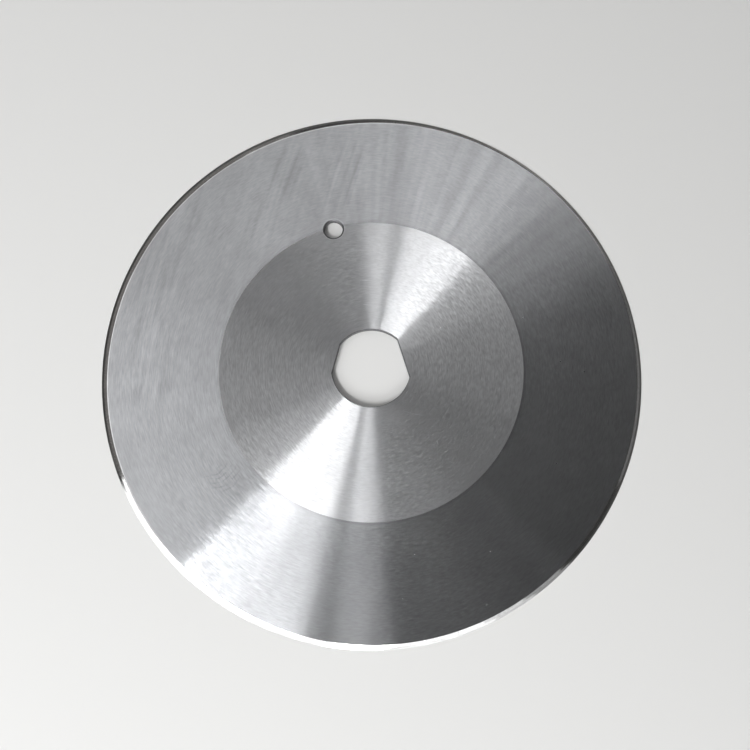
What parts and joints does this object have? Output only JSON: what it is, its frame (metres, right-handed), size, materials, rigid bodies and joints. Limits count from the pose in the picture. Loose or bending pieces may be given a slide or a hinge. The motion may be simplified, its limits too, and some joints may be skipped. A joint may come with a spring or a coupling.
{
  "type": "food slicer blade",
  "caption": "Round food slicer blade ground on one side from a single steel disc: flat hub, tapered body, bevelled edge, keyed bore with leaning flats and an off-centre pin hole.",
  "frame": {"origin": "centre of the disc on its flat back face", "axes": "+Z along the spin axis, from the back face towards the ground side with the bevel; the drive bore's flats lean together towards +Y; the pin hole is 15 degrees from +Y, towards -X"},
  "size_m": [0.175, 0.175, 0.0025],
  "materials": {
    "ground_steel": "circular ground, fine"
  },
  "bodies": {
    "root": {"slicer_blade": "ground_steel"}
  },
  "joints": []
}
